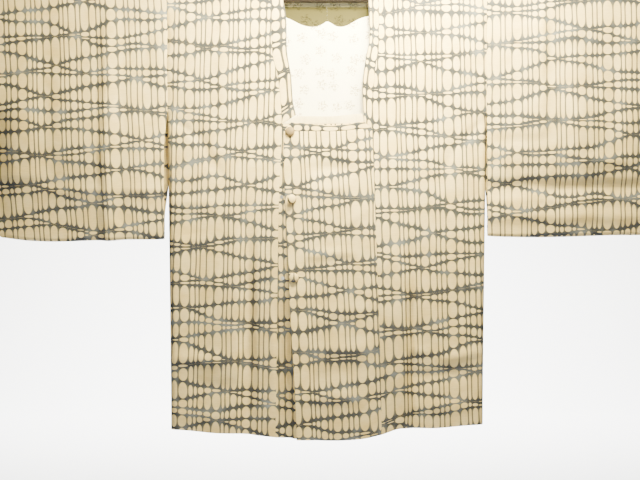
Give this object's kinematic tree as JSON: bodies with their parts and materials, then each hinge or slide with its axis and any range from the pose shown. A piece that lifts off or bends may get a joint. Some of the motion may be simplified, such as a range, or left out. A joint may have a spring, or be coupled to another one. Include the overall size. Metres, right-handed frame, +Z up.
{
  "type": "michiyuki kimono coat on a hanger rod",
  "caption": "Short lined kimono coat of wavering lattice silk, square neck band, lapped front with covered buttons, deep open-backed sleeves, hung flat on a wooden rod with a steel hook",
  "frame": {"origin": "the inside of the hook's crown, where the hanger is hung up", "axes": "+X to the wearer's left along the rod, +Y through the coat from front to back, +Z up"},
  "size_m": [1.37, 0.0645, 0.9754],
  "materials": {
    "coat_silk": "cream silk with a woven grey wavering lattice, soft sheen",
    "lining_silk": "pale cream-gold figured satin",
    "steel": "plain steel wire and stamped press studs",
    "dark_wood": "dark stained turned wood"
  },
  "bodies": {
    "root": {"body_panel_left": "coat_silk", "body_panel_right": "coat_silk", "sleeve_left": "coat_silk", "sleeve_right": "coat_silk", "overlap_panel_left": "coat_silk", "overlap_panel_right": "coat_silk", "neck_band_left": "coat_silk", "neck_band_right": "coat_silk", "neck_band_front_over": "coat_silk", "neck_band_front_under": "coat_silk", "lining_back_left": "lining_silk", "lining_back_right": "lining_silk", "button_1": "coat_silk", "button_2": "coat_silk", "button_3": "coat_silk", "press_stud_1": "steel", "press_stud_2": "steel", "hanger_rod": "dark_wood", "hanger_hook": "steel"}
  },
  "joints": []
}
